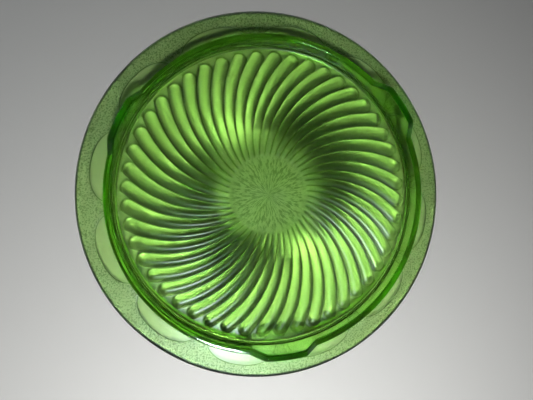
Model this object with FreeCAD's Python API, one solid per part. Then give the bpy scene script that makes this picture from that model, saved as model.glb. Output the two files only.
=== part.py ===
import FreeCAD, Part
import math
import os

# A three-footed cake plate of pressed uranium glass, lying face down: its rim rests on the plane
# Z = 0 and its foot ring and feet point up. The origin is on the plate's axis, in the rim's plane.
# The glass is one pressing. Each moulded feature is a solid of its own, and the solids meet face to
# face on cylinders, cones and planes, with nothing between them.

# Plate, in millimetres
rim_radius = 127.0
glass_thickness = 4.2
rim_drop = 1.2  # from the serving face down to the rim's plane
flange_width = 21.3  # from the foot ring's outside to the rim
flange_thickness = 3.0  # at the foot ring
lip_width = 3.8  # the edge band, which ends in a round nose
lip_height = 2.9
lip_round = 2.5  # the nose's upper corner; the lower one takes what is left

# Foot ring
ring_rise = 12.6  # above the plate's back
ring_top_width = 4.0
ring_draft = 0.7  # how much wider the ring is at its root
ring_cove = 2.0
ring_edge_round = 1.0

# Feet
foot_count = 3
first_foot_deg = 34.5
foot_rise = 11.2  # above the ring
foot_sole_length = 26.4
foot_base_length = 46.0
foot_edge_round = 0.8

# Swirled flutes
flute_count = 48
flute_arc_radius = 77.6
first_tip_deg = 2.9
flute_relief = 1.6
flute_edge_round = 0.9
flute_share = 0.84  # of the pitch; the rest is the groove beside it
flute_tip_gap = 1.3  # from a tip to the ring's cove

# Centre
centre_radius = 25.0
centre_relief = 0.7
centre_peak = 0.3

# Petal outlines on the flange
petal_count = 12
first_petal_deg = 20.0
petal_width = 47.0
petal_depth = 12.6  # from the foot ring outwards
petal_line_width = 0.7
petal_line_relief = 0.35

# Places that follow from the sizes above
floor_low = rim_drop
floor_top = rim_drop + glass_thickness
flange_back = rim_drop + flange_thickness
ring_radius = rim_radius - flange_width
ring_inner = ring_radius - ring_top_width
ring_root = ring_inner - ring_draft - ring_cove
ring_top = floor_top + ring_rise
sole_height = ring_top + foot_rise
foot_root = ring_top - ring_edge_round
lip_inner = rim_radius - lip_width
flange_slope = math.atan((flange_back - lip_height) / (flange_width - lip_width))
flute_tip_radius = ring_root - flute_tip_gap
half_pitch_deg = 180.0 / flute_count

axis_base = FreeCAD.Vector(0, 0, 0)
axis_up = FreeCAD.Vector(0, 0, 1)


def polar(radius, degrees, height=0.0):
    angle = math.radians(degrees)
    return FreeCAD.Vector(radius * math.cos(angle), radius * math.sin(angle), height)


def section_point(radius, height):
    return FreeCAD.Vector(radius, 0, height)


def line(start, end):
    return Part.makeLine(start, end)


def arc(start, through, end):
    return Part.Arc(start, through, end).toShape()


def corner_arc(start, centre, end):
    # A rounded corner from start to end about a centre, taking the shorter way
    radius = (start - centre).Length
    middle = (start + end) * 0.5 - centre
    return arc(start, centre + middle * (radius / middle.Length), end)


def face_of(edges):
    return Part.Face(Part.Wire(edges))


def turned(edges):
    return face_of(edges).revolve(axis_base, axis_up, 360)


def turned_outline(points):
    return turned([line(a, b) for a, b in zip(points, points[1:] + points[:1])])


def rotated(shape, degrees):
    copy = shape.copy()
    copy.rotate(axis_base, axis_up, degrees)
    return copy


def around(shape, count):
    return [rotated(shape, 360.0 * i / count) for i in range(count)]


def flute_lag(radius):
    # Every flute follows a circle through the plate's centre, so it lags further behind as it runs out
    return math.degrees(math.asin(radius / (2 * flute_arc_radius)))


def flute_point(radius, turn_deg):
    return polar(radius, turn_deg - flute_lag(radius), floor_top)


def flute_side(turn_deg, end_radius):
    middle_radius = (centre_radius + end_radius) / 2
    return arc(
        flute_point(centre_radius, turn_deg),
        flute_point(middle_radius, turn_deg),
        flute_point(end_radius, turn_deg),
    )


def tip_circle(turn_deg, half_deg):
    # The circle that touches both sides of a flute: its centre is as far inside one as outside the other
    tilt = math.cos(math.radians(flute_lag(flute_tip_radius)))
    half_width = flute_tip_radius * math.sin(math.radians(half_deg)) * tilt
    along = 2 * math.acos((flute_tip_radius - half_width) / (2 * flute_arc_radius))
    out = polar(1, turn_deg - 90)
    across = polar(1, turn_deg)
    shrunk = flute_arc_radius * math.cos(math.radians(half_deg))
    centre = out * (shrunk * (1 + math.cos(along))) + across * (flute_arc_radius * math.sin(along))
    touches = []
    for side in (half_deg, -half_deg):
        side_centre = polar(flute_arc_radius, turn_deg - 90 + side)
        reach = centre - side_centre
        touches.append(side_centre + reach * (flute_arc_radius / reach.Length))
    return centre, touches[0], touches[1]


def flute():
    # One raised finger with a round tip and a rounded crest
    turn = first_tip_deg + flute_lag(flute_tip_radius)
    half = half_pitch_deg * flute_share
    centre, left_touch, right_touch = tip_circle(turn, half)
    chord = right_touch - left_touch
    onward = FreeCAD.Vector(-chord.y, chord.x, 0).normalize()
    crown = centre + onward * (chord.Length / 2)
    up = FreeCAD.Vector(0, 0, floor_top)
    heel_left = flute_point(centre_radius, turn + half)
    heel_right = flute_point(centre_radius, turn - half)
    outline = face_of([
        flute_side(turn + half, left_touch.Length),
        arc(left_touch + up, crown + up, right_touch + up),
        flute_side(turn - half, right_touch.Length),
        arc(heel_right, flute_point(centre_radius, turn), heel_left),
    ])
    finger = outline.extrude(FreeCAD.Vector(0, 0, flute_relief))
    return finger.makeFillet(flute_edge_round, flute_crest_edges(finger))


def flute_crest_edges(finger):
    # The two long edges and the tip's edge; the heel's edge meets the centre disc and stays sharp
    crest = finger.BoundBox.ZMax
    edges = [e for e in finger.Edges if e.BoundBox.ZMin > crest - 1e-6]
    return sorted(edges, key=lambda e: e.Length)[1:]


def plate_floor():
    return turned_outline([
        section_point(centre_radius, floor_low),
        section_point(ring_root, floor_low),
        section_point(ring_root, floor_top),
        section_point(centre_radius, floor_top),
    ])


def swirl_flutes():
    return Part.makeCompound(around(flute(), flute_count))


def centre_disc():
    # The top is a very shallow cone
    return turned_outline([
        section_point(0, floor_low),
        section_point(centre_radius, floor_low),
        section_point(centre_radius, floor_top + centre_relief),
        section_point(0, floor_top + centre_relief + centre_peak),
    ])


def foot_section():
    # The feet are as thick as the ring's top and carry its two side faces on up to the sole
    low_out = section_point(ring_radius, foot_root)
    low_in = section_point(ring_inner, foot_root)
    high = sole_height - foot_edge_round
    sole_out = section_point(ring_radius - foot_edge_round, sole_height)
    sole_in = section_point(ring_inner + foot_edge_round, sole_height)
    side_out = section_point(ring_radius, high)
    side_in = section_point(ring_inner, high)
    return [
        line(low_out, side_out),
        corner_arc(side_out, section_point(sole_out.x, high), sole_out),
        line(sole_out, sole_in),
        corner_arc(sole_in, section_point(sole_in.x, high), side_in),
        line(side_in, low_in),
        line(low_in, low_out),
    ]


def foot_front():
    # The trapezoid that a foot shows from outside, as a block that runs through the ring
    half_base = foot_base_length / 2
    half_sole = foot_sole_length / 2
    near = ring_inner / 2
    outline = [
        FreeCAD.Vector(near, -half_base, foot_root),
        FreeCAD.Vector(near, -half_base, ring_top),
        FreeCAD.Vector(near, -half_sole, sole_height),
        FreeCAD.Vector(near, half_sole, sole_height),
        FreeCAD.Vector(near, half_base, ring_top),
        FreeCAD.Vector(near, half_base, foot_root),
    ]
    edges = [line(a, b) for a, b in zip(outline, outline[1:] + outline[:1])]
    return face_of(edges).extrude(FreeCAD.Vector(ring_radius, 0, 0))


def feet():
    foot = turned(foot_section()).common(foot_front())
    first = rotated(foot, first_foot_deg)
    return around(first, foot_count)


def ring_wall(standing_feet):
    root_out = section_point(ring_radius, floor_low)
    root_in = section_point(ring_root, floor_low)
    side_out = section_point(ring_radius, ring_top - ring_edge_round)
    top_out = section_point(ring_radius - ring_edge_round, ring_top)
    top_in = section_point(ring_inner + ring_edge_round, ring_top)
    side_in = section_point(ring_inner, ring_top - ring_edge_round)
    cove_top = section_point(ring_root + ring_cove, floor_top + ring_cove)
    cove_foot = section_point(ring_root, floor_top)
    edges = [
        line(root_in, root_out),
        line(root_out, side_out),
        corner_arc(side_out, section_point(top_out.x, side_out.z), top_out),
        line(top_out, top_in),
        corner_arc(top_in, section_point(top_in.x, side_in.z), side_in),
        line(side_in, cove_top),
        corner_arc(cove_top, section_point(ring_root, cove_top.z), cove_foot),
        line(cove_foot, root_in),
    ]
    return turned(edges).cut(Part.makeCompound(standing_feet))


def stippled_flange():
    return turned_outline([
        section_point(ring_radius, floor_low),
        section_point(lip_inner, 0),
        section_point(lip_inner, lip_height),
        section_point(ring_radius, flange_back),
    ])


def rim_lip():
    # The top carries on down the flange's slope and rolls over into the nose
    nose_inner = rim_radius - lip_round
    roll_end = nose_inner + lip_round * math.sin(flange_slope)
    roll_height = lip_height - (roll_end - lip_inner) * math.tan(flange_slope)
    nose_height = roll_height - lip_round * math.cos(flange_slope)
    low_in = section_point(lip_inner, 0)
    low_out = section_point(rim_radius - nose_height, 0)
    nose = section_point(rim_radius, nose_height)
    roll = section_point(roll_end, roll_height)
    top = section_point(lip_inner, lip_height)
    return turned([
        line(low_in, low_out),
        corner_arc(low_out, section_point(low_out.x, nose_height), nose),
        corner_arc(nose, section_point(nose_inner, nose_height), roll),
        line(roll, top),
        line(top, low_in),
    ])


def petal_block(width, depth):
    # An arch that stands on the foot ring, as a block taller than the flange
    half_deg = math.degrees(math.asin(width / 2 / ring_radius))
    start = polar(ring_radius, -half_deg)
    end = polar(ring_radius, half_deg)
    crown = polar(ring_radius + depth, 0)
    return face_of([arc(start, crown, end), line(end, start)]).extrude(
        FreeCAD.Vector(0, 0, sole_height)
    )


def petal_lines():
    outer = petal_block(petal_width, petal_depth)
    inner = petal_block(petal_width - 2 * petal_line_width, petal_depth - petal_line_width)
    band = rotated(outer.cut(inner), first_petal_deg)
    skin = turned_outline([
        section_point(ring_radius, flange_back),
        section_point(lip_inner, lip_height),
        section_point(lip_inner, lip_height + petal_line_relief),
        section_point(ring_radius, flange_back + petal_line_relief),
    ])
    return Part.makeCompound([skin.common(b) for b in around(band, petal_count)])


def save(name, shape):
    shape.exportStep(os.path.join("parts", name + ".step"))
    print(name, "valid" if shape.isValid() else "INVALID", len(shape.Solids), round(shape.Volume, 1))


os.makedirs("parts", exist_ok=True)
standing_feet = feet()
save("plate_floor", plate_floor())
save("swirl_flutes", swirl_flutes())
save("centre_disc", centre_disc())
save("ring_wall", ring_wall(standing_feet))
for number, foot in enumerate(standing_feet, start=1):
    save("foot_%d" % number, foot)
save("stippled_flange", stippled_flange())
save("rim_lip", rim_lip())
save("petal_lines", petal_lines())
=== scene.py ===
import math

import bmesh
import bpy
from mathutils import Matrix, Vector


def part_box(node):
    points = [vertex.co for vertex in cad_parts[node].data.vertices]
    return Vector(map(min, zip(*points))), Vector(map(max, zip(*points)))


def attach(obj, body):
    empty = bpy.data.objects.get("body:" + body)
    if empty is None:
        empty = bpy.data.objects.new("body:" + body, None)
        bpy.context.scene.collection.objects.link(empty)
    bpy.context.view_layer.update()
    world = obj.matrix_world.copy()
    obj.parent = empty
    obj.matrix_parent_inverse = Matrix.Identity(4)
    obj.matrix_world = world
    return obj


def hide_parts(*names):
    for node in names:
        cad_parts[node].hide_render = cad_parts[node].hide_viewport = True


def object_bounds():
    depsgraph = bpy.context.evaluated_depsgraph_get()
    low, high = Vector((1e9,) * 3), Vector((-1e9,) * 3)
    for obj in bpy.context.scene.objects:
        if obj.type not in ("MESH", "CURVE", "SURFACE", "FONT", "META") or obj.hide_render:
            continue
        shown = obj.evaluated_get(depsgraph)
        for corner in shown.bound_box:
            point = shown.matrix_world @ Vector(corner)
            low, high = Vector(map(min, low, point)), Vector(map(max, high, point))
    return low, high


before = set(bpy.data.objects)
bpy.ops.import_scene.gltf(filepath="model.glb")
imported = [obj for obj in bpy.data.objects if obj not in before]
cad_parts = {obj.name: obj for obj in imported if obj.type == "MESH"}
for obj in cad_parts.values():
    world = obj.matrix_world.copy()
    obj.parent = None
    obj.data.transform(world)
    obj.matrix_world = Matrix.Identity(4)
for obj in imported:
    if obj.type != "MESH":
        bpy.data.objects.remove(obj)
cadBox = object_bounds()
print("frame loaded")

mm = 0.001
cubicCentimetre = 1e-6
tiny = 1e-6  # a length, in metres, that counts as nothing


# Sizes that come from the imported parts, in metres
def outerRadius(node):
    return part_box(node)[1][0]


def lowestPoint(node):
    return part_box(node)[0][2]


def highestPoint(node):
    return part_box(node)[1][2]


rimRadius = cadBox[1][0]
soleHeight = cadBox[1][2]
floorLow = lowestPoint("plate_floor")
floorTop = highestPoint("plate_floor")
crestTop = highestPoint("swirl_flutes")
centreRadius = outerRadius("centre_disc")
ringRoot = outerRadius("plate_floor")
ringRadius = outerRadius("ring_wall")
ringTop = highestPoint("ring_wall")
flangeBack = highestPoint("stippled_flange")
lipInner = outerRadius("stippled_flange")
lipHeight = highestPoint("rim_lip")
flangeSlope = (flangeBack - lipHeight) / (lipInner - ringRadius)

# The glass: one closed shell, its section wrapped round the axis by Geometry Nodes
sectionSizes = {
    "ringTopWidth": 4.0 * mm,
    "ringCove": 2.0 * mm,
    "ringEdgeRound": 1.0 * mm,
    "outerCove": 1.0 * mm,  # between the ring and the flange
    "outerCoveRise": 0.9,  # of its radius, so that it runs a little into the flange
    "lipRound": 2.5 * mm,
    "tipStretch": 6.0 * mm,  # where the rows stand closer, inside the flutes' tips
    "fadeMargin": 2.0 * mm,  # the same on either side of the disc's edge
    "undersideStops": (0.97, 0.5),  # of the ring's root, where the serving face has its rows
}
rowCounts = {
    "disc": 14,
    "fade": 10,
    "flutes": 34,
    "tips": 14,
    "ringCove": 6,
    "ringWall": 5,
    "ringEdge": 5,
    "ringTop": 2,
    "ringSide": 6,
    "outerCove": 5,
    "flange": 14,
    "lipCorner": 6,
    "lipNose": 5,
}
fluteSizes = {
    "Flute Count": 48,
    "Columns Per Flute": 14,
    "Column Crowding": 0.45,
    "Flute Arc Radius": 77.6 * mm,
    "First Tip Angle": math.radians(2.9),
    "Tip Radius": 97.7 * mm,
    "Flute Relief": crestTop - floorTop,
    "Flute Share": 0.96,
    "Flute Roundness": 1.0,
    "Disc Share": 0.54,
    "Fade Start": 26.0 * mm,
    "Fade End": 28.6 * mm,
}
# Where the painted shade of a groove begins and ends, from 0 on a flute's crest to 1 at its foot
grooveShadeSizes = {
    "Inner Groove Start": 0.25,
    "Outer Groove Start": 0.72,
    "Outer Groove Radius": 0.8 * fluteSizes["Tip Radius"],
    "Groove Foot": 1.0,
    "Groove Far Side": 1.15,
    "Groove End": 1.7,
}
footSizes = {
    "Foot Count": 3,
    "First Foot Angle": math.radians(34.5),
    "Foot Rise": soleHeight - ringTop,
    "Foot Radius": ringRadius,
    "Foot Sole Length": 26.4 * mm,
    "Foot Base Length": 46.0 * mm,
}
wobbleSizes = {
    "Ray Depth": 0.5 * mm,
    "Ray Level": 0.75,  # the noise that leaves the disc's height alone
    "Rays Around": 13.0,
    "Rays Along": 350.0,  # changes per metre of radius
    "Ray Start": 0.5 * mm,
    "Ray Full": 4.0 * mm,
    "Wobble Depth": 0.15 * mm,
    "Wobble Scale": 60.0,
    "Seed": 3.0,
}


def spread(start, end, count):
    # Evenly spaced values after start, up to and including end
    return [start + (end - start) * i / count for i in range(1, count + 1)]


def straightRun(start, end, count):
    # Points on a straight line after its start
    return list(zip(spread(start[0], end[0], count), spread(start[1], end[1], count)))


def roundCorner(centre, radius, startAngle, endAngle, count):
    # Points on a corner's arc after its start, angles in degrees
    points = []
    for angle in spread(startAngle, endAngle, count):
        turn = math.radians(angle)
        points.append((centre[0] + radius * math.cos(turn), centre[1] + radius * math.sin(turn)))
    return points


def sectionRows():
    # Each row is radius, height, its share of the fluted relief and its share of a foot's lift
    rows = []

    def add(points, fluteShare=0.0, lowShare=0.0, highShare=0.0):
        for i, (radius, height) in enumerate(points):
            lift = lowShare + (highShare - lowShare) * (i + 1) / len(points)
            rows.append((radius, height, fluteShare, lift))

    discEdge = fluteSizes["Fade Start"] - sectionSizes["fadeMargin"]
    fluteStart = fluteSizes["Fade End"] + sectionSizes["fadeMargin"]
    tipStart = fluteSizes["Tip Radius"] - sectionSizes["tipStretch"]
    stops = (0.0, discEdge, fluteStart, tipStart, ringRoot)
    add([(0.0, floorTop)], 1.0)
    for start, end, part in zip(stops, stops[1:], ("disc", "fade", "flutes", "tips")):
        add([(r, floorTop) for r in spread(start, end, rowCounts[part])], 1.0)

    # The foot ring, inner side first
    cove = sectionSizes["ringCove"]
    edge = sectionSizes["ringEdgeRound"]
    inner = ringRadius - sectionSizes["ringTopWidth"]
    add(roundCorner((ringRoot, floorTop + cove), cove, -90, 0, rowCounts["ringCove"]))
    wallFoot = (ringRoot + cove, floorTop + cove)
    add(straightRun(wallFoot, (inner, ringTop - edge), rowCounts["ringWall"]), 0, 0, 1)
    add(roundCorner((inner + edge, ringTop - edge), edge, 180, 90, rowCounts["ringEdge"]), 0, 1, 1)
    add([(r, ringTop) for r in spread(inner + edge, ringRadius - edge, rowCounts["ringTop"])], 0, 1, 1)
    add(roundCorner((ringRadius - edge, ringTop - edge), edge, 90, 0, rowCounts["ringEdge"]), 0, 1, 1)

    # The flange, which falls towards the rim
    slope = math.atan(flangeSlope)
    outer = sectionSizes["outerCove"]
    coveCentre = (ringRadius + outer, flangeBack + outer * sectionSizes["outerCoveRise"])
    add([(ringRadius, h) for h in spread(ringTop - edge, coveCentre[1], rowCounts["ringSide"])], 0, 1, 0)
    add(roundCorner(coveCentre, outer, 180, 270 - math.degrees(slope), rowCounts["outerCove"]))
    add(straightRun(rows[-1][:2], (lipInner, lipHeight), rowCounts["flange"]))

    # The lip's round nose, and the plain serving side back to the axis
    bend = sectionSizes["lipRound"]
    rollEnd = rimRadius - bend + bend * math.sin(slope)
    rollHeight = lipHeight - (rollEnd - lipInner) * flangeSlope
    noseHeight = rollHeight - bend * math.cos(slope)
    add([(rollEnd, rollHeight)])
    upperCorner = (rimRadius - bend, noseHeight)
    add(roundCorner(upperCorner, bend, 90 - math.degrees(slope), 0, rowCounts["lipCorner"]))
    add(roundCorner((rimRadius - noseHeight, noseHeight), noseHeight, 0, -90, rowCounts["lipNose"]))
    add([(lipInner, 0.0)])
    underside = [ringRoot * share for share in sectionSizes["undersideStops"]]
    add([(r, floorLow) for r in (ringRadius, *underside, centreRadius, 0.0)])
    return rows


class FieldMaths:
    # Short words for the Math nodes of one tree

    def __init__(self, tree):
        self.tree = tree

    def use(self, operation, *values):
        node = self.tree.nodes.new("ShaderNodeMath")
        node.operation = operation
        for socket, value in zip(node.inputs, values):
            self.feed(socket, value)
        return node.outputs[0]

    def feed(self, socket, value):
        if isinstance(value, bpy.types.NodeSocket):
            self.tree.links.new(value, socket)
        else:
            socket.default_value = value

    def add(self, a, b):
        return self.use("ADD", a, b)

    def sub(self, a, b):
        return self.use("SUBTRACT", a, b)

    def mul(self, a, b):
        return self.use("MULTIPLY", a, b)

    def div(self, a, b):
        return self.use("DIVIDE", a, b)

    def clamp(self, a):
        return self.use("MINIMUM", self.use("MAXIMUM", a, 0.0), 1.0)

    def length(self, a, b):
        return self.use("SQRT", self.add(self.mul(a, a), self.mul(b, b)))

    def ramp(self, value, start, end):
        # 0 at start, 1 at end, smooth between
        node = self.tree.nodes.new("ShaderNodeMapRange")
        node.interpolation_type = "SMOOTHSTEP"
        self.feed(node.inputs["Value"], value)
        self.feed(node.inputs["From Min"], start)
        self.feed(node.inputs["From Max"], end)
        return node.outputs["Result"]

    def vector(self, x, y, z):
        node = self.tree.nodes.new("ShaderNodeCombineXYZ")
        for socket, value in zip(node.inputs, (x, y, z)):
            self.feed(socket, value)
        return node.outputs[0]

    def parts(self, vector):
        node = self.tree.nodes.new("ShaderNodeSeparateXYZ")
        self.tree.links.new(vector, node.inputs[0])
        return node.outputs

    def noise(self, place, scale, detail, roughness):
        node = self.tree.nodes.new("ShaderNodeTexNoise")
        self.feed(node.inputs["Vector"], place)
        self.feed(node.inputs["Scale"], scale)
        node.inputs["Detail"].default_value = detail
        node.inputs["Roughness"].default_value = roughness
        return node.outputs[0]

    def mixColour(self, share, first, second):
        # 0, 6 and 7 are the colour mix's own factor and colours, and 2 its result
        node = self.tree.nodes.new("ShaderNodeMix")
        node.data_type = "RGBA"
        for index, value in ((0, share), (6, first), (7, second)):
            self.feed(node.inputs[index], value)
        return node.outputs[2]


def namedTree(name, inputs):
    # A new Geometry Nodes tree with one socket for each size
    tree = bpy.data.node_groups.new(name, "GeometryNodeTree")
    tree.interface.new_socket("Geometry", in_out="INPUT", socket_type="NodeSocketGeometry")
    tree.interface.new_socket("Geometry", in_out="OUTPUT", socket_type="NodeSocketGeometry")
    identifiers = {}
    for title, value in inputs.items():
        kind = "NodeSocketInt" if isinstance(value, int) else "NodeSocketFloat"
        socket = tree.interface.new_socket(title, in_out="INPUT", socket_type=kind)
        socket.default_value = value
        identifiers[title] = socket.identifier
    source = tree.nodes.new("NodeGroupInput")
    return tree, identifiers, {socket.name: socket for socket in source.outputs}


def endTree(tree, geometry, material):
    realize = tree.nodes.new("GeometryNodeRealizeInstances")
    tree.links.new(geometry, realize.inputs["Geometry"])
    coat = tree.nodes.new("GeometryNodeSetMaterial")
    coat.inputs["Material"].default_value = material
    tree.links.new(realize.outputs[0], coat.inputs["Geometry"])
    output = tree.nodes.new("NodeGroupOutput")
    tree.links.new(coat.outputs[0], output.inputs[0])


def plainPiece(name, start, tree, identifiers, inputs):
    # Turns what the tree makes from the start object into a mesh of its own
    bpy.context.collection.objects.link(start)
    modifier = start.modifiers.new(tree.name, "NODES")
    modifier.node_group = tree
    for title, value in inputs.items():
        modifier[identifiers[title]] = value
    graph = bpy.context.evaluated_depsgraph_get()
    mesh = bpy.data.meshes.new_from_object(start.evaluated_get(graph))
    mesh.name = name
    bpy.data.objects.remove(start)
    outward(mesh)
    piece = bpy.data.objects.new(name, mesh)
    bpy.context.collection.objects.link(piece)
    return piece


def outward(mesh):
    # A closed shell whose faces all point out
    shell = bmesh.new()
    shell.from_mesh(mesh)
    bmesh.ops.recalc_face_normals(shell, faces=shell.faces)
    volume = shell.calc_volume(signed=True)
    if volume < 0:
        bmesh.ops.reverse_faces(shell, faces=shell.faces)
    openEdges = sum(1 for e in shell.edges if not e.is_manifold)
    shell.to_mesh(mesh)
    facts = (mesh.name, abs(volume) / cubicCentimetre, openEdges, len(shell.faces))
    print("%s: %.1f cm3, %d open edges, %d faces" % facts)
    shell.free()


def sampled(tree, geometry, value, index, kind="FLOAT"):
    node = tree.nodes.new("GeometryNodeSampleIndex")
    node.data_type = kind
    node.domain = "POINT"
    tree.links.new(geometry, node.inputs["Geometry"])
    tree.links.new(value, node.inputs["Value"])
    tree.links.new(index, node.inputs["Index"])
    return node.outputs["Value"]


def namedField(tree, name):
    node = tree.nodes.new("GeometryNodeInputNamedAttribute")
    node.data_type = "FLOAT"
    node.inputs["Name"].default_value = name
    return node.outputs["Attribute"]


def sectionGrid(tree, m, section, given):
    # A grid with one line of points for each row of the section and one for each column
    columns = m.mul(given["Flute Count"], given["Columns Per Flute"])
    size = tree.nodes.new("GeometryNodeAttributeDomainSize")
    tree.links.new(section, size.inputs["Geometry"])
    rowCount = size.outputs["Point Count"]
    grid = tree.nodes.new("GeometryNodeMeshGrid")
    m.feed(grid.inputs["Size X"], m.sub(rowCount, 1.0))
    m.feed(grid.inputs["Size Y"], columns)
    m.feed(grid.inputs["Vertices X"], rowCount)
    m.feed(grid.inputs["Vertices Y"], m.add(columns, 1.0))
    position = tree.nodes.new("GeometryNodeInputPosition").outputs[0]
    across, along, _ = m.parts(position)
    row = m.use("ROUND", m.add(across, m.div(m.sub(rowCount, 1.0), 2.0)))
    column = m.use("ROUND", m.add(along, m.div(columns, 2.0)))
    place = sampled(tree, section, position, row, "FLOAT_VECTOR")
    return grid.outputs["Mesh"], row, column, place


def fluteRelief(m, given, column, radius, fluteShare):
    # The swirl's angle, the height that the flutes and disc add, and the painted shade of the groove
    pitch = m.div(2 * math.pi, given["Flute Count"])

    # Columns crowd towards the grooves, where the relief turns fastest
    phase = m.div(column, given["Columns Per Flute"])
    crowd = m.mul(given["Column Crowding"], m.use("SINE", m.mul(phase, 2 * math.pi)))
    phase = m.add(phase, m.div(crowd, 2 * math.pi))
    offset = m.sub(m.use("FRACT", m.add(phase, 0.5)), 0.5)  # across one flute, from -0.5 to 0.5

    # Each flute follows a circle through the centre, out to the tips and then straight on
    reach = m.mul(given["Flute Arc Radius"], 2.0)
    lag = m.use("ARCSINE", m.div(m.use("MINIMUM", radius, given["Tip Radius"]), reach))
    endLag = m.use("ARCSINE", m.div(given["Tip Radius"], reach))
    angle = m.sub(m.add(m.mul(phase, pitch), m.add(given["First Tip Angle"], endLag)), lag)

    # A rounded finger with a round tip, in distances along and across the flute
    tilt = m.use("COSINE", lag)
    halfShare = m.mul(given["Flute Share"], 0.5)
    side = m.mul(m.mul(radius, offset), pitch)
    half = m.mul(m.mul(m.mul(radius, pitch), halfShare), tilt)
    tipHalf = m.mul(m.mul(m.mul(given["Tip Radius"], pitch), halfShare), m.use("COSINE", endLag))
    across = m.div(m.mul(side, tilt), m.use("MAXIMUM", half, tiny))
    tipCentre = m.sub(given["Tip Radius"], tipHalf)
    along = m.sub(m.div(m.sub(radius, tipCentre), tilt), m.mul(side, m.use("SINE", lag)))
    past = m.div(m.use("MAXIMUM", along, 0.0), tipHalf)
    reached = m.add(m.mul(across, across), m.mul(past, past))
    finger = m.use("POWER", m.use("MAXIMUM", m.sub(1.0, reached), 0.0), given["Flute Roundness"])
    fade = m.ramp(radius, given["Fade Start"], given["Fade End"])
    disc = m.mul(m.sub(1.0, fade), given["Disc Share"])
    relief = m.mul(m.mul(m.add(disc, m.mul(fade, finger)), given["Flute Relief"]), fluteShare)

    # The painted groove shade covers more of each groove's width near the centre
    widen = m.ramp(radius, given["Fade End"], given["Outer Groove Radius"])
    startChange = m.sub(given["Outer Groove Start"], given["Inner Groove Start"])
    grooveStart = m.add(given["Inner Groove Start"], m.mul(startChange, widen))
    farSide = m.sub(1.0, m.ramp(reached, given["Groove Far Side"], given["Groove End"]))
    grooveShade = m.mul(m.ramp(reached, grooveStart, given["Groove Foot"]), farSide)
    return angle, relief, m.mul(m.mul(grooveShade, fade), fluteShare)


def footLift(m, given, angle, footShare):
    # The ring's top rises in a trapezoid at each foot
    footPitch = m.div(2 * math.pi, given["Foot Count"])
    phase = m.div(m.sub(angle, given["First Foot Angle"]), footPitch)
    offset = m.sub(m.use("FRACT", m.add(phase, 0.5)), 0.5)
    distance = m.mul(m.mul(m.use("ABSOLUTE", offset), footPitch), given["Foot Radius"])
    ends = m.mul(m.sub(given["Foot Base Length"], given["Foot Sole Length"]), 0.5)
    foot = m.clamp(m.div(m.sub(m.mul(given["Foot Base Length"], 0.5), distance), ends))
    return m.mul(m.mul(foot, given["Foot Rise"]), footShare)


def unevenness(m, given, radius, cosine, sine, fluteShare, footShare):
    # Fine rays at the centre, and the slight wobble of pressed glass
    around = given["Rays Around"]
    rayPlace = m.vector(m.mul(cosine, around), m.mul(sine, around), m.mul(radius, given["Rays Along"]))
    rays = m.noise(rayPlace, 1.0, detail=2.0, roughness=0.6)
    rayFade = m.sub(1.0, m.ramp(radius, given["Fade Start"], given["Fade End"]))
    rayFade = m.mul(rayFade, m.ramp(radius, given["Ray Start"], given["Ray Full"]))
    rayDepth = m.mul(m.mul(m.sub(rays, given["Ray Level"]), rayFade), m.mul(given["Ray Depth"], fluteShare))
    wobblePlace = m.vector(m.mul(radius, cosine), m.mul(radius, sine), given["Seed"])
    noise = m.noise(wobblePlace, given["Wobble Scale"], detail=1.0, roughness=0.4)
    wobble = m.mul(m.sub(noise, 0.5), given["Wobble Depth"])
    return rayDepth, m.mul(wobble, m.add(fluteShare, footShare))


def glassTree(inputs, material):
    # Returns the tree and the identifier of each named input
    tree, identifiers, given = namedTree("pressedGlass", inputs)
    section = given["Geometry"]
    m = FieldMaths(tree)
    grid, row, column, place = sectionGrid(tree, m, section, given)
    radius, _, height = m.parts(place)
    fluteShare = sampled(tree, section, namedField(tree, "fluteShare"), row)
    footShare = sampled(tree, section, namedField(tree, "footShare"), row)

    angle, relief, grooveShade = fluteRelief(m, given, column, radius, fluteShare)
    height = m.add(m.add(height, relief), footLift(m, given, angle, footShare))
    cosine = m.use("COSINE", angle)
    sine = m.use("SINE", angle)
    rayDepth, wobble = unevenness(m, given, radius, cosine, sine, fluteShare, footShare)
    height = m.add(m.add(height, rayDepth), wobble)

    # The painted groove shade is stored while the points are still a grid, because its field reads their
    # places
    mark = tree.nodes.new("GeometryNodeStoreNamedAttribute")
    mark.data_type = "FLOAT"
    mark.domain = "POINT"
    mark.inputs["Name"].default_value = "grooveShade"
    tree.links.new(grid, mark.inputs["Geometry"])
    tree.links.new(grooveShade, mark.inputs["Value"])
    setPlace = tree.nodes.new("GeometryNodeSetPosition")
    tree.links.new(mark.outputs[0], setPlace.inputs["Geometry"])
    wrapped = m.vector(m.mul(radius, cosine), m.mul(radius, sine), height)
    tree.links.new(wrapped, setPlace.inputs["Position"])
    merge = tree.nodes.new("GeometryNodeMergeByDistance")
    merge.inputs["Distance"].default_value = tiny
    tree.links.new(setPlace.outputs[0], merge.inputs["Geometry"])
    smooth = tree.nodes.new("GeometryNodeSetShadeSmooth")
    tree.links.new(merge.outputs[0], smooth.inputs["Geometry"])
    endTree(tree, smooth.outputs[0], material)
    return tree, identifiers


def sectionObject():
    rows = sectionRows()
    mesh = bpy.data.meshes.new("glassSection")
    edges = [(i, i + 1) for i in range(len(rows) - 1)]
    mesh.from_pydata([(r, 0.0, h) for r, h, _, _ in rows], edges, [])
    for name, part in (("fluteShare", 2), ("footShare", 3)):
        layer = mesh.attributes.new(name, "FLOAT", "POINT")
        layer.data.foreach_set("value", [row[part] for row in rows])
    return bpy.data.objects.new("glassSection", mesh)


def pressedGlass(material):
    inputs = {**fluteSizes, **grooveShadeSizes, **footSizes, **wobbleSizes}
    tree, identifiers = glassTree(inputs, material)
    return plainPiece("dish_glass", sectionObject(), tree, identifiers, inputs)


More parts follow.
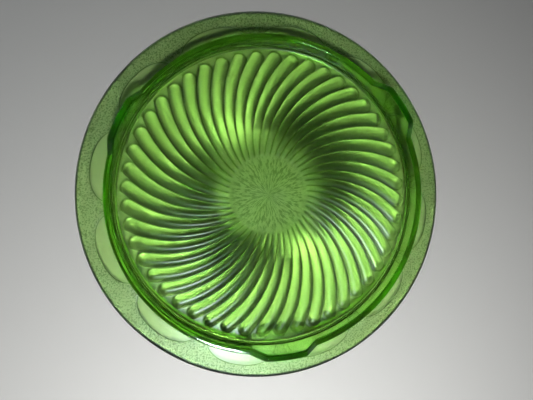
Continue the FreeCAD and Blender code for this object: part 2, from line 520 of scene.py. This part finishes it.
# Petal outlines: raised lines on the flange, each an arch that springs from the foot ring
petalSizes = {
    "Petal Count": 12,
    "First Petal Angle": math.radians(20.0),
    "Half Width": 23.8 * mm,
    "Depth": 12.6 * mm,
    "Squareness": 2.4,
    "Line Radius": 0.30 * mm,
    "Line Points": 49,
    "Line Sides": 10,
    "Line Sunk": 0.35,  # of the line's radius, into the flange
    "Ring Radius": ringRadius,
    "Flange Back": flangeBack,
    "Flange Slope": flangeSlope,
}


def petalArch(tree, m, given):
    # One petal's line, a flattened half circle laid on the sloping flange
    line = tree.nodes.new("GeometryNodeCurvePrimitiveLine")
    points = tree.nodes.new("GeometryNodeResampleCurve")
    tree.links.new(line.outputs["Curve"], points.inputs["Curve"])
    m.feed(points.inputs["Count"], given["Line Points"])
    turn = m.mul(tree.nodes.new("GeometryNodeSplineParameter").outputs["Factor"], math.pi)
    power = m.div(2.0, given["Squareness"])
    cosine = m.use("COSINE", turn)
    wide = m.mul(m.use("SIGN", cosine), m.use("POWER", m.use("ABSOLUTE", cosine), power))
    side = m.mul(wide, given["Half Width"])
    high = m.use("POWER", m.use("MAXIMUM", m.use("SINE", turn), 0.0), power)
    far = m.mul(high, given["Depth"])
    radius = m.add(given["Ring Radius"], far)
    x = m.use("SQRT", m.sub(m.mul(radius, radius), m.mul(side, side)))
    flange = m.sub(given["Flange Back"], m.mul(far, given["Flange Slope"]))
    z = m.sub(flange, m.mul(given["Line Radius"], given["Line Sunk"]))
    arch = tree.nodes.new("GeometryNodeSetPosition")
    tree.links.new(points.outputs["Curve"], arch.inputs["Geometry"])
    tree.links.new(m.vector(x, side, z), arch.inputs["Position"])
    return arch.outputs[0]


def petalTree(inputs, material):
    tree, identifiers, given = namedTree("petalLines", inputs)
    m = FieldMaths(tree)
    profile = tree.nodes.new("GeometryNodeCurvePrimitiveCircle")
    m.feed(profile.inputs["Resolution"], given["Line Sides"])
    m.feed(profile.inputs["Radius"], given["Line Radius"])
    tube = tree.nodes.new("GeometryNodeCurveToMesh")
    tree.links.new(petalArch(tree, m, given), tube.inputs["Curve"])
    tree.links.new(profile.outputs["Curve"], tube.inputs["Profile Curve"])
    tube.inputs["Fill Caps"].default_value = True

    spots = tree.nodes.new("GeometryNodePoints")
    m.feed(spots.inputs["Count"], given["Petal Count"])
    index = tree.nodes.new("GeometryNodeInputIndex").outputs[0]
    step = m.div(2 * math.pi, given["Petal Count"])
    angle = m.add(given["First Petal Angle"], m.mul(index, step))
    copies = tree.nodes.new("GeometryNodeInstanceOnPoints")
    tree.links.new(spots.outputs[0], copies.inputs["Points"])
    tree.links.new(tube.outputs["Mesh"], copies.inputs["Instance"])
    tree.links.new(m.vector(0.0, 0.0, angle), copies.inputs["Rotation"])
    endTree(tree, copies.outputs["Instances"], material)
    return tree, identifiers


def petalLines(material):
    tree, identifiers = petalTree(petalSizes, material)
    start = bpy.data.objects.new("petalStart", bpy.data.meshes.new("petalStart"))
    return plainPiece("petal_outlines", start, tree, identifiers, petalSizes)


# Materials
petalFinish = {
    # The outlines' dark tint is painted shade, standing for the dark edges of the raised lines
    "tint": (0.26, 0.34, 0.22, 1),
    "ior": 1.5,
    "glossTint": (0.50, 0.60, 0.66, 1),
    "roughness": 0.28,
}
glassFinish = {
    "tint": (0.95, 1.0, 0.93, 1),
    # paintedShadeTint: the painted shade colour of the stipple grains, the rim band and the centre rays
    "paintedShadeTint": (0.36, 0.43, 0.35, 1),
    # grooveShadeTint: the painted shade colour mixed in along the flute grooves
    "grooveShadeTint": (0.28, 0.36, 0.22, 1),
    "absorbedColour": (0.611, 0.870, 0.200, 1),
    "absorbedDensity": 190.0,
    "ior": 1.5,
    "glossTint": (0.50, 0.60, 0.66, 1),
    "roughness": 0.28,
    "discRoughness": 0.06,  # added at the centre
    "ringSmoothing": 0.22,  # taken off on the ring and feet
    "ringStart": (0.6 * mm, 1.6 * mm),  # the blend, measured out from the ring's root
    "ringEnd": (0.2 * mm, 0.6 * mm),  # and from its outside
}
stippleSizes = {
    "grain": 900.0,
    "fine": 2600.0,
    "fineShare": 0.35,
    "height": 0.25 * mm,
    # darkFrom and darkTo: where the grains' painted shade begins and is full
    "darkFrom": 0.46,
    "darkTo": 0.62,
    "petalEdge": 0.05,  # the blend outside an outline, in shares of the petal's size
    "ringGap": (0.4 * mm, 1.2 * mm),  # the blend outside the ring
    "topGap": (0.3 * mm, 0.8 * mm),  # the blend above the flange's underside
    # The rim keys set a painted shadow band along the lip
    "rimBand": 2.0 * mm,
    "rimBlend": 0.3 * mm,
    "rimFineShare": 0.5,
    "rimDarkFrom": 0.45,
    "rimDarkTo": 0.75,
}
raySizes = {
    "fadeFrom": 21.6 * mm,
    "fadeTo": 29.7 * mm,
    "topGap": (1.0 * mm, 2.0 * mm),  # the blend above the serving face
    "around": 15.0,
    "along": 230.0,
    "speck": 1100.0,
    "speckShare": 0.6,
    "height": 0.12 * mm,
    # darkFrom and darkTo: where the rays' painted shade begins and is full
    "darkFrom": 0.44,
    "darkTo": 0.60,
}


def petalGlass():
    material = bpy.data.materials.new("petalGlass")
    material.use_nodes = True
    shader = material.node_tree.nodes["Principled BSDF"]
    shader.inputs["Base Color"].default_value = petalFinish["tint"]
    shader.inputs["IOR"].default_value = petalFinish["ior"]
    shader.inputs["Roughness"].default_value = petalFinish["roughness"]
    shader.inputs["Specular Tint"].default_value = petalFinish["glossTint"]
    shader.inputs["Transmission Weight"].default_value = 1.0
    return material


def outsidePetals(m, x, y, radius):
    # 0 on each petal and its outline, 1 between the petals
    pitch = 2 * math.pi / petalSizes["Petal Count"]
    wholeTurns = 100  # keeps the fraction's argument above zero
    turns = m.div(m.sub(m.use("ARCTAN2", y, x), petalSizes["First Petal Angle"]), pitch)
    around = m.mul(m.sub(m.use("FRACT", m.add(turns, wholeTurns + 0.5)), 0.5), pitch)
    wide = m.div(m.use("ABSOLUTE", m.mul(m.use("SINE", around), radius)), petalSizes["Half Width"])
    far = m.div(m.use("MAXIMUM", m.sub(radius, ringRadius), 0.0), petalSizes["Depth"])
    power = petalSizes["Squareness"]
    shape = m.add(m.use("POWER", wide, power), m.use("POWER", far, power))
    away = m.sub(m.use("POWER", shape, 1 / power), 1.0)
    return m.ramp(away, 0.0, stippleSizes["petalEdge"])


def flangeRelief(m, x, y, z, radius):
    # The stipple between the petals: its height in metres, and the painted shade of its grains and the
    # painted shadow of the rim band
    flangeShare = m.div(m.sub(radius, ringRadius), lipInner - ringRadius)
    underside = m.mul(m.use("MAXIMUM", m.sub(1.0, flangeShare), 0.0), floorLow)
    onTop = m.ramp(m.sub(z, underside), *stippleSizes["topGap"])
    inFlange = m.mul(m.ramp(radius, *[ringRadius + gap for gap in stippleSizes["ringGap"]]), onTop)
    stippled = m.mul(outsidePetals(m, x, y, radius), inFlange)
    place = m.vector(x, y, z)
    grains = m.noise(place, stippleSizes["grain"], detail=2.0, roughness=0.6)
    fine = m.noise(place, stippleSizes["fine"], detail=1.0, roughness=0.5)
    relief = m.mul(stippled, m.add(grains, m.mul(fine, stippleSizes["fineShare"])))
    # Painted shade: the grains darken the colour where their facets would throw shade
    paintedShade = m.mul(m.ramp(grains, stippleSizes["darkFrom"], stippleSizes["darkTo"]), stippled)

    # Painted shadow: a dark speckled band along the rim, standing for the lip's shadow
    bandStart = rimRadius - stippleSizes["rimBand"]
    blend = stippleSizes["rimBlend"]
    inBand = m.ramp(radius, bandStart - blend, bandStart + blend)
    speckled = m.add(grains, m.mul(fine, stippleSizes["rimFineShare"]))
    rimShadow = m.mul(inBand, m.ramp(speckled, stippleSizes["rimDarkFrom"], stippleSizes["rimDarkTo"]))
    return m.mul(relief, stippleSizes["height"]), m.use("MAXIMUM", paintedShade, rimShadow)


def centreRays(m, x, y, z, radius):
    # Short random rays that fade at the disc's edge: height in metres, share and their painted shade
    safe = m.use("MAXIMUM", radius, 0.5 * mm)
    around = raySizes["around"]
    direction = m.div(m.mul(x, around), safe), m.div(m.mul(y, around), safe)
    way = m.vector(*direction, m.mul(radius, raySizes["along"]))
    pastEdge = m.ramp(radius, raySizes["fadeFrom"], raySizes["fadeTo"])
    onBack = m.ramp(z, *[floorLow + gap for gap in raySizes["topGap"]])
    inDisc = m.mul(m.sub(1.0, pastEdge), onBack)
    rays = m.noise(way, 1.0, detail=3.0, roughness=0.65)
    specks = m.noise(m.vector(x, y, z), raySizes["speck"], detail=2.0, roughness=0.6)
    relief = m.mul(m.add(rays, m.mul(specks, raySizes["speckShare"])), inDisc)
    # Painted shade: darker streaks along the rays
    paintedShade = m.mul(m.ramp(rays, raySizes["darkFrom"], raySizes["darkTo"]), inDisc)
    return m.mul(relief, raySizes["height"]), inDisc, paintedShade


def glassRoughness(m, radius, inDisc):
    ringStart = m.ramp(radius, *[ringRoot + gap for gap in glassFinish["ringStart"]])
    ringEnd = m.ramp(radius, *[ringRadius + gap for gap in glassFinish["ringEnd"]])
    inRing = m.mul(ringStart, m.sub(1.0, ringEnd))
    rough = m.add(m.mul(inDisc, glassFinish["discRoughness"]), glassFinish["roughness"])
    return m.sub(rough, m.mul(inRing, glassFinish["ringSmoothing"]))


def uraniumGlass():
    material = bpy.data.materials.new("uraniumGlass")
    material.use_nodes = True
    tree = material.node_tree
    nodes = tree.nodes
    links = tree.links
    shader = nodes["Principled BSDF"]
    shader.inputs["IOR"].default_value = glassFinish["ior"]
    shader.inputs["Specular Tint"].default_value = glassFinish["glossTint"]
    shader.inputs["Transmission Weight"].default_value = 1.0

    m = FieldMaths(tree)
    x, y, z = m.parts(nodes.new("ShaderNodeTexCoord").outputs["Object"])
    radius = m.length(x, y)
    flange, grainAndRimShade = flangeRelief(m, x, y, z, radius)
    rays, inDisc, rayShade = centreRays(m, x, y, z, radius)
    grooveShadeAttribute = nodes.new("ShaderNodeAttribute")
    grooveShadeAttribute.attribute_name = "grooveShade"
    # Painted shade: the grains, the rim band's painted shadow and the rays darken the base colour
    paintedShade = m.use("MAXIMUM", grainAndRimShade, rayShade)
    tint = m.mixColour(paintedShade, glassFinish["tint"], glassFinish["paintedShadeTint"])
    # Painted shade: the grooves' dark bands are mixed into the base colour
    tint = m.mixColour(grooveShadeAttribute.outputs["Fac"], tint, glassFinish["grooveShadeTint"])
    links.new(tint, shader.inputs["Base Color"])
    links.new(glassRoughness(m, radius, inDisc), shader.inputs["Roughness"])
    bump = nodes.new("ShaderNodeBump")
    bump.inputs["Distance"].default_value = 1.0
    links.new(m.add(flange, rays), bump.inputs["Height"])
    links.new(bump.outputs[0], shader.inputs["Normal"])

    absorption = nodes.new("ShaderNodeVolumeAbsorption")
    absorption.inputs["Color"].default_value = glassFinish["absorbedColour"]
    absorption.inputs["Density"].default_value = glassFinish["absorbedDensity"]
    links.new(absorption.outputs[0], nodes["Material Output"].inputs["Volume"])
    return material


glass = pressedGlass(uraniumGlass())
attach(glass, "root")
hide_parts(*[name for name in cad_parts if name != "petal_lines"])
print("glass made")

petals = petalLines(petalGlass())
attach(petals, "root")
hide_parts("petal_lines")
print("petal outlines made")


# Stage
floorSizes = {
    "colour": (0.60, 0.60, 0.59, 1),
    "roughness": 0.6,
    "half": 3.0,
    "gap": 0.1 * mm,  # below the rim, so that the two faces don't coincide
}
lamps = {
    "key": {
        "place": (-0.02, -0.40, 0.69),
        "aim": (-0.01, -0.21, 0.0),
        "spread": 82.0,
        "size": 0.12,
        "power": 1.20,
        "colour": (1.0, 1.0, 0.98),
    },
    "second": {
        "place": (-0.45, 0.25, 0.50),
        "aim": (0.0, 0.0, 0.0),
        "spread": 120.0,
        "size": 0.12,
        "power": 0.06,
        "colour": (0.7, 0.85, 1.0),
    },
}
roomLight = {
    "colour": (0.92, 0.95, 1.0, 1),
    "overhead": 0.02,
    "walls": 0.40,
    "wallTop": math.sin(math.radians(22)),
}


def floorMaterial():
    material = bpy.data.materials.new("paleFloor")
    material.use_nodes = True
    shader = material.node_tree.nodes["Principled BSDF"]
    shader.inputs["Base Color"].default_value = floorSizes["colour"]
    shader.inputs["Roughness"].default_value = floorSizes["roughness"]
    return material


def paleFloor():
    half = floorSizes["half"]
    corners = [(-half, -half, 0), (half, -half, 0), (half, half, 0), (-half, half, 0)]
    mesh = bpy.data.meshes.new("floor")
    mesh.from_pydata(corners, [], [(0, 1, 2, 3)])
    mesh.materials.append(floorMaterial())
    floor = bpy.data.objects.new("floor", mesh)
    bpy.context.collection.objects.link(floor)
    floor.location.z = -floorSizes["gap"]


def areaLamp(name, settings):
    data = bpy.data.lights.new(name, "AREA")
    data.size = settings["size"]
    data.energy = settings["power"]
    data.color = settings["colour"]
    data.spread = math.radians(settings["spread"])
    lamp = bpy.data.objects.new(name, data)
    lamp.location = settings["place"]
    direction = Vector(settings["aim"]) - Vector(settings["place"])
    lamp.rotation_euler = direction.to_track_quat("-Z", "Y").to_euler()
    bpy.context.collection.objects.link(lamp)


def roomWorld():
    # Pale walls low down and a dim ceiling, which keeps haze off the glass
    world = bpy.data.worlds.new("room")
    world.use_nodes = True
    tree = world.node_tree
    m = FieldMaths(tree)
    upward = m.parts(tree.nodes.new("ShaderNodeTexCoord").outputs["Generated"])[2]
    walls = m.sub(1.0, m.ramp(upward, 0.0, roomLight["wallTop"]))
    background = tree.nodes["Background"]
    background.inputs["Color"].default_value = roomLight["colour"]
    strength = m.add(roomLight["overhead"], m.mul(walls, roomLight["walls"]))
    m.feed(background.inputs["Strength"], strength)
    bpy.context.scene.world = world


def lightSettings():
    scene = bpy.context.scene
    scene.view_settings.view_transform = "Standard"
    scene.view_settings.look = "Medium High Contrast"
    scene.cycles.use_guiding = True  # finds the small lamp through the glass
    scene.cycles.guiding_training_samples = 32
    scene.cycles.sample_clamp_indirect = 0
    scene.cycles.blur_glossy = 0
    scene.cycles.use_adaptive_sampling = False


paleFloor()
for lampName, lampSettings in lamps.items():
    areaLamp(lampName, lampSettings)
roomWorld()
lightSettings()
print("stage made")


# Camera, close above the plate and leaning a little towards +X
cameraSizes = {
    "place": (-0.0418, -0.0044, 0.2765),
    "lean": (math.radians(0.10), math.radians(-8.47), 0.0),
    "lens": 27.0,
    "sensor": 36.0,
    "nearest": 10.0 * mm,
}


def addCamera():
    data = bpy.data.cameras.new("camera")
    data.lens = cameraSizes["lens"]
    data.sensor_width = cameraSizes["sensor"]
    data.clip_start = cameraSizes["nearest"]
    camera = bpy.data.objects.new("camera", data)
    camera.location = cameraSizes["place"]
    camera.rotation_euler = cameraSizes["lean"]
    bpy.context.collection.objects.link(camera)
    bpy.context.scene.camera = camera


addCamera()
print("camera made")
